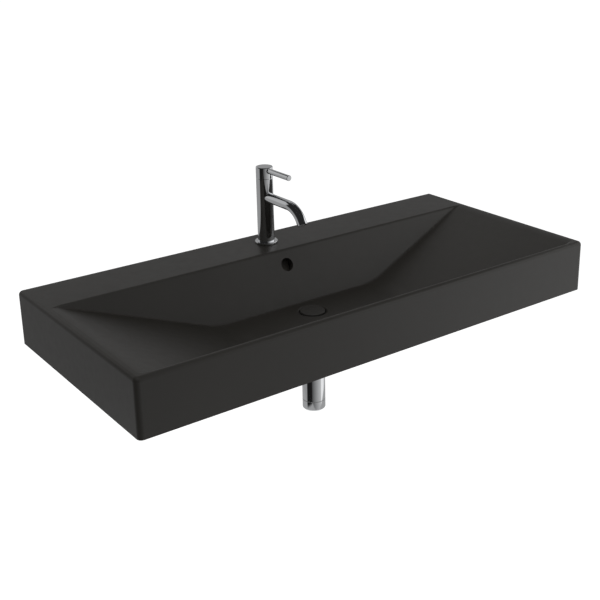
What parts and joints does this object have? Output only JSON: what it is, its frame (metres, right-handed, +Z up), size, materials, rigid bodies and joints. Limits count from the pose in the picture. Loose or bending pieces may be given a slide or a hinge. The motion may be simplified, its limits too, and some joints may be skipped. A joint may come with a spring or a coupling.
{
  "type": "wall-hung washbasin",
  "caption": "Wide wall-hung washbasin in matt black ceramic with a ramped bowl, single-lever chrome mixer tap, click waste and bottle trap.",
  "frame": {"origin": "on the wall plane, midway between the two wall fixing holes", "axes": "+X to the right seen from the front, +Y into the wall, +Z up"},
  "size_m": [1, 0.48, 0.4666],
  "materials": {
    "black_ceramic": "matt black glaze",
    "black_cover": "matt black",
    "chrome": "polished chrome on brass",
    "brass": "turned",
    "steel": "zinc plated",
    "rubber": "moulded",
    "plastic": "moulded",
    "disc_ceramic": "lapped"
  },
  "bodies": {
    "basin": {"basin_front_apron": "black_ceramic", "basin_left_end": "black_ceramic", "basin_right_end": "black_ceramic", "basin_left_deck": "black_ceramic", "basin_tap_deck": "black_ceramic", "basin_right_deck": "black_ceramic", "basin_wall_plate": "black_ceramic", "overflow_duct": "black_ceramic", "bowl_back_wall": "black_ceramic", "bowl_front_wall": "black_ceramic", "bowl_left_ramp": "black_ceramic", "bowl_right_ramp": "black_ceramic", "bowl_floor": "black_ceramic", "tap_base_ring": "chrome", "tap_body": "chrome", "tap_spout": "chrome", "aerator_housing": "chrome", "dome_ring": "chrome", "waste_back_nut": "chrome", "trap_inlet_nut": "chrome", "trap_inlet_tube": "chrome", "trap_top_nut": "chrome", "trap_cup": "chrome", "trap_clean_out_cap": "chrome", "trap_outlet_nut": "chrome", "trap_outlet_tube": "chrome", "wall_flange": "chrome", "waste_body": "chrome", "cartridge_nut": "brass", "clicker_barrel": "brass", "clamp_nut": "brass", "mounting_stud": "steel", "clamp_plate": "steel", "clicker_spring": "steel", "tap_base_seal": "rubber", "aerator_seal": "rubber", "cartridge_seals": "rubber", "clamp_gasket": "rubber", "waste_flange_seal": "rubber", "waste_lower_washer": "rubber", "trap_inlet_washer": "rubber", "trap_top_seal": "rubber", "trap_clean_out_seal": "rubber", "trap_outlet_seal": "rubber", "cartridge_housing": "plastic", "aerator_insert": "plastic", "fixed_disc": "disc_ceramic"},
    "swivel": {"cartridge_spindle": "brass", "pivot_pin": "steel"},
    "lever": {"handle_cap": "chrome", "lever_rod": "chrome", "grub_screw": "steel", "cartridge_stem": "steel"},
    "disc": {"moving_disc": "disc_ceramic"},
    "plug": {"plug_cap": "black_cover", "plug_seal": "rubber", "plug_plunger": "brass"}
  },
  "joints": [
    {"name": "lever_swivel", "type": "hinge", "parent": "basin", "child": "swivel", "pos_m": [0, -0.053, 0.18805], "axis": [0, 0, 1], "range_deg": [-50, 50]},
    {"name": "lever_tilt", "type": "hinge", "parent": "swivel", "child": "lever", "pos_m": [0, -0.053, 0.18805], "axis": [-1, 0, 0], "range_deg": [0, 25]},
    {"name": "disc_slide", "type": "slide", "parent": "swivel", "child": "disc", "axis": [0, -1, 0], "range_m": [0, 0.0044]},
    {"name": "plug_lift", "type": "slide", "parent": "basin", "child": "plug", "axis": [0, 0, 1], "range_m": [0, 0.008], "deforming": ["clicker_spring"]}
  ],
  "couplings": [
    {"joint": "disc_slide", "follows": "lever_tilt", "m_per_rad": 0.00988}
  ]
}
